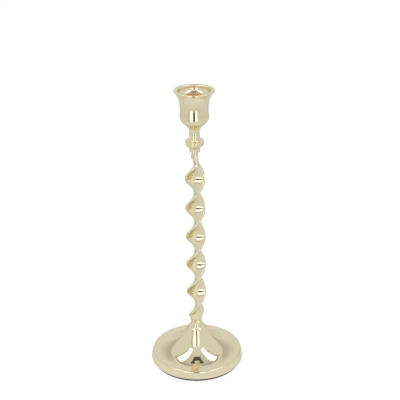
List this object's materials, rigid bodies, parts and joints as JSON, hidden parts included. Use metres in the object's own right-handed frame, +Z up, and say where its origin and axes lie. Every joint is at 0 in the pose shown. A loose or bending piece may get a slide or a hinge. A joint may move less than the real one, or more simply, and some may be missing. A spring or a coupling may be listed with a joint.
{
  "type": "candle holder",
  "caption": "Brass taper candle holder: tulip cup with a candle socket on a flat bar stem twisted into a spiral, on a weighted trumpet foot with a felt pad.",
  "frame": {"origin": "on the floor under the middle of the foot, on the stem's axis", "axes": "+Z up along the stem and out of the candle socket; the picture looks along +Y, with +X to its right"},
  "size_m": [0.0974, 0.0974, 0.3],
  "materials": {
    "polished_brass": "polished and lacquered pale brass",
    "plain_brass": "turned, unpolished",
    "plated_steel": "bright zinc plating",
    "cast_iron": "raw casting",
    "felt": "dark wool felt"
  },
  "bodies": {
    "root": {"felt_pad": "felt", "base_shell": "polished_brass", "ballast_plate": "cast_iron", "tie_bolt": "plated_steel", "spring_washer": "plated_steel", "flat_washer": "plated_steel", "foot_boss": "plain_brass", "twisted_bar": "polished_brass", "stem_knop": "polished_brass", "candle_cup": "polished_brass", "cup_screw": "plated_steel"}
  },
  "joints": []
}
